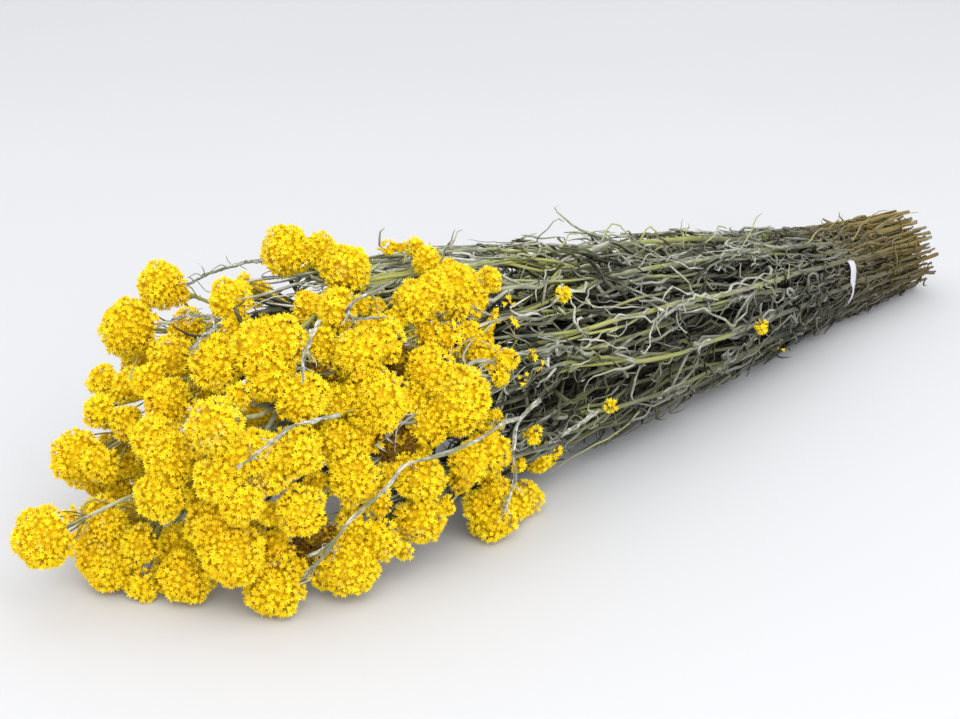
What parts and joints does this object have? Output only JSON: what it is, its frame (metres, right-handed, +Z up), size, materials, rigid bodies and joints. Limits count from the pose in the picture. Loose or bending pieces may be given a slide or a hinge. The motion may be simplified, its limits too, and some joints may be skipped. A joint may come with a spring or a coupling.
{
  "type": "dried everlasting flower bunch",
  "caption": "Tied bunch of dried yellow everlasting flowers lying on its side, with dense round flower heads and woolly grey-green stems held by a narrow white band.",
  "frame": {"origin": "on the surface that the bunch lies on, under the middle of its bounding box", "axes": "+X along the bunch from the flower heads to the cut ends of the stems; +Z up"},
  "size_m": [0.4994, 0.1336, 0.109],
  "materials": {
    "flowers": "dry papery bracts, bright yellow with golden-brown centres, matt",
    "stems": "dried woolly stems, grey-green with yellow-green rubbed stretches, matt",
    "leaves": "narrow dried leaves felted with grey-white wool, matt",
    "cut_ends": "cut pith and bark at the stem ends, olive to brown, matt",
    "band": "white elastic tie band, satin"
  },
  "bodies": {
    "root": {"flowering_stem_01": "stems", "flowering_stem_02": "stems", "flowering_stem_03": "stems", "flowering_stem_04": "stems", "flowering_stem_05": "stems", "flowering_stem_06": "stems", "flowering_stem_07": "stems", "flowering_stem_08": "stems", "flowering_stem_09": "stems", "flowering_stem_10": "stems", "flowering_stem_11": "stems", "flowering_stem_12": "stems", "flowering_stem_13": "stems", "flowering_stem_14": "stems", "flowering_stem_15": "stems", "flowering_stem_16": "stems", "flowering_stem_17": "stems", "flowering_stem_18": "stems", "flowering_stem_19": "stems", "flower_head_01": "flowers", "flower_head_02": "flowers", "flower_head_03": "flowers", "flower_head_04": "flowers", "flower_head_05": "flowers", "flower_head_06": "flowers", "flower_head_07": "flowers", "flower_head_08": "flowers", "flower_head_09": "flowers", "flower_head_10": "flowers", "flower_head_11": "flowers", "flower_head_12": "flowers", "flower_head_13": "flowers", "flower_head_14": "flowers", "flower_head_15": "flowers", "flower_head_16": "flowers", "flower_head_17": "flowers", "flower_head_18": "flowers", "flower_head_19": "flowers", "flower_head_20": "flowers", "flower_head_21": "flowers", "flower_head_22": "flowers", "flower_head_23": "flowers", "flower_head_24": "flowers", "flower_head_25": "flowers", "flower_head_26": "flowers", "flower_head_27": "flowers", "flower_head_28": "flowers", "flower_head_29": "flowers", "flower_head_30": "flowers", "flower_head_31": "flowers", "flower_head_32": "flowers", "flower_head_33": "flowers", "flower_head_34": "flowers", "flower_head_35": "flowers", "flower_head_36": "flowers", "flower_head_37": "flowers", "flower_head_38": "flowers", "woolly_twig_01": "stems", "woolly_twig_02": "stems", "tie_band": "band"}
  },
  "joints": []
}
